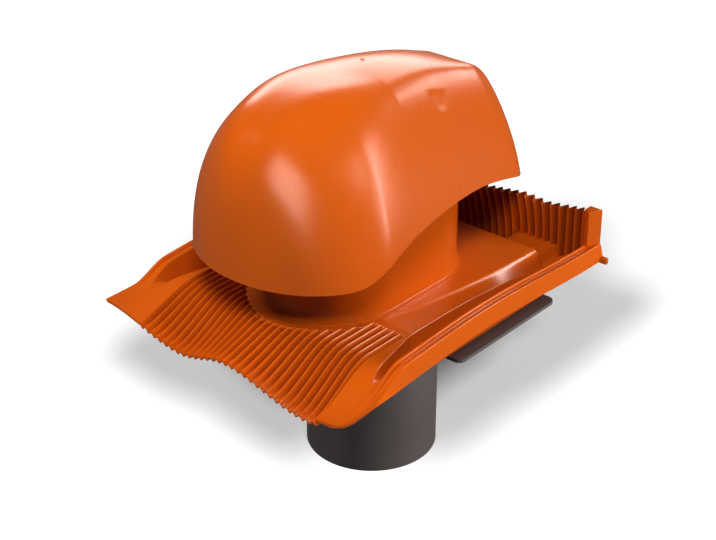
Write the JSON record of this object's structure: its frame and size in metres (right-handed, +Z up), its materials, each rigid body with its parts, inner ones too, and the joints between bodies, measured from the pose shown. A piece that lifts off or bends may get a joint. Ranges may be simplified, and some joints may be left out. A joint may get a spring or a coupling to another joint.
{
  "type": "roof vent pipe",
  "caption": "Moulded roof ventilator: a rounded weather hood over an oval neck on a pleated tile flashing plate, with a round duct pipe hanging below in a support frame.",
  "frame": {"origin": "on the floor under the middle of the plate's outline, level with the pipe's foot", "axes": "+Z up along the pipe, -Y towards the eaves where the closed front of the hood points, +X to the right seen from the eaves"},
  "size_m": [0.356, 0.4256, 0.4715],
  "materials": {
    "terracotta_plastic": "satin",
    "black_plastic": "satin"
  },
  "bodies": {
    "root": {"hood": "terracotta_plastic", "flashing_plate": "terracotta_plastic", "vent_pipe": "black_plastic", "support_frame": "black_plastic"}
  },
  "joints": []
}
